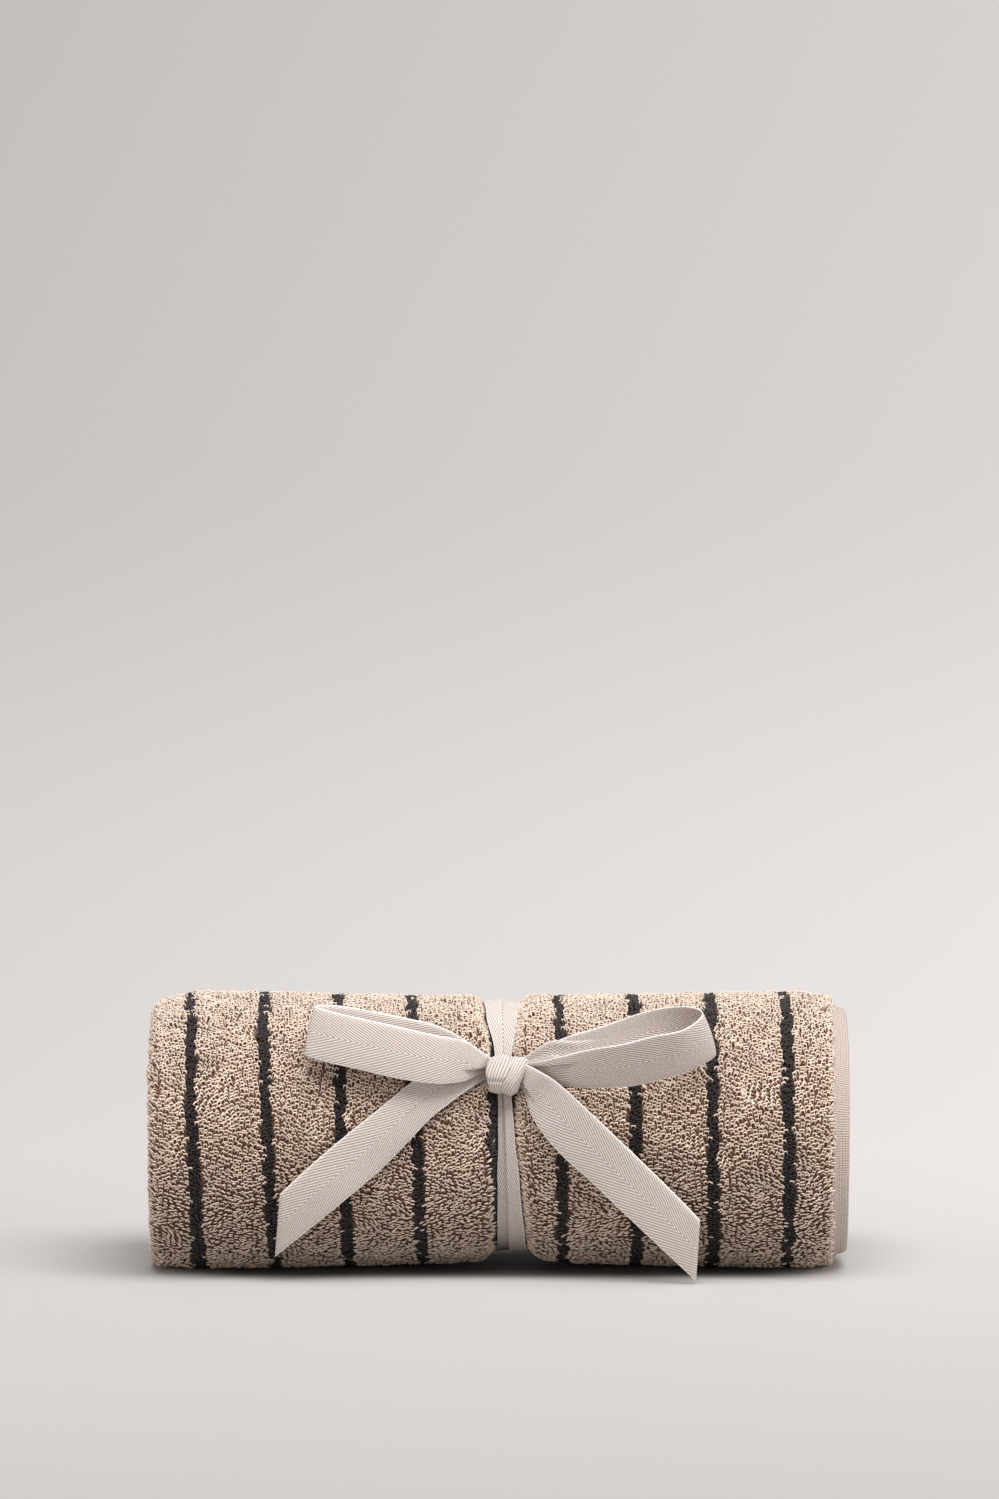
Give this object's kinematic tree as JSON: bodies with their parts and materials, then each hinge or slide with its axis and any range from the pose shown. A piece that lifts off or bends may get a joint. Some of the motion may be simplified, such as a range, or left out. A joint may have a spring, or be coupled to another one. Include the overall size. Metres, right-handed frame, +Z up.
{
  "type": "rolled hand towel tied with tape",
  "caption": "Terry hand towel with thin dark stripes, folded in half, rolled up and tied round its middle with a herringbone tape in a bow.",
  "frame": {"origin": "on the surface that the roll rests on, under the middle of its bounding box", "axes": "+X along the roll towards the hems, +Y away from the bow, +Z up"},
  "size_m": [0.2224, 0.1042, 0.0877],
  "materials": {
    "terry": "sand cotton terry loops with thin charcoal stripes",
    "tape": "matt ivory cotton herringbone tape"
  },
  "bodies": {
    "root": {"towel_roll": "terry", "bow_tie": "tape"}
  },
  "joints": []
}
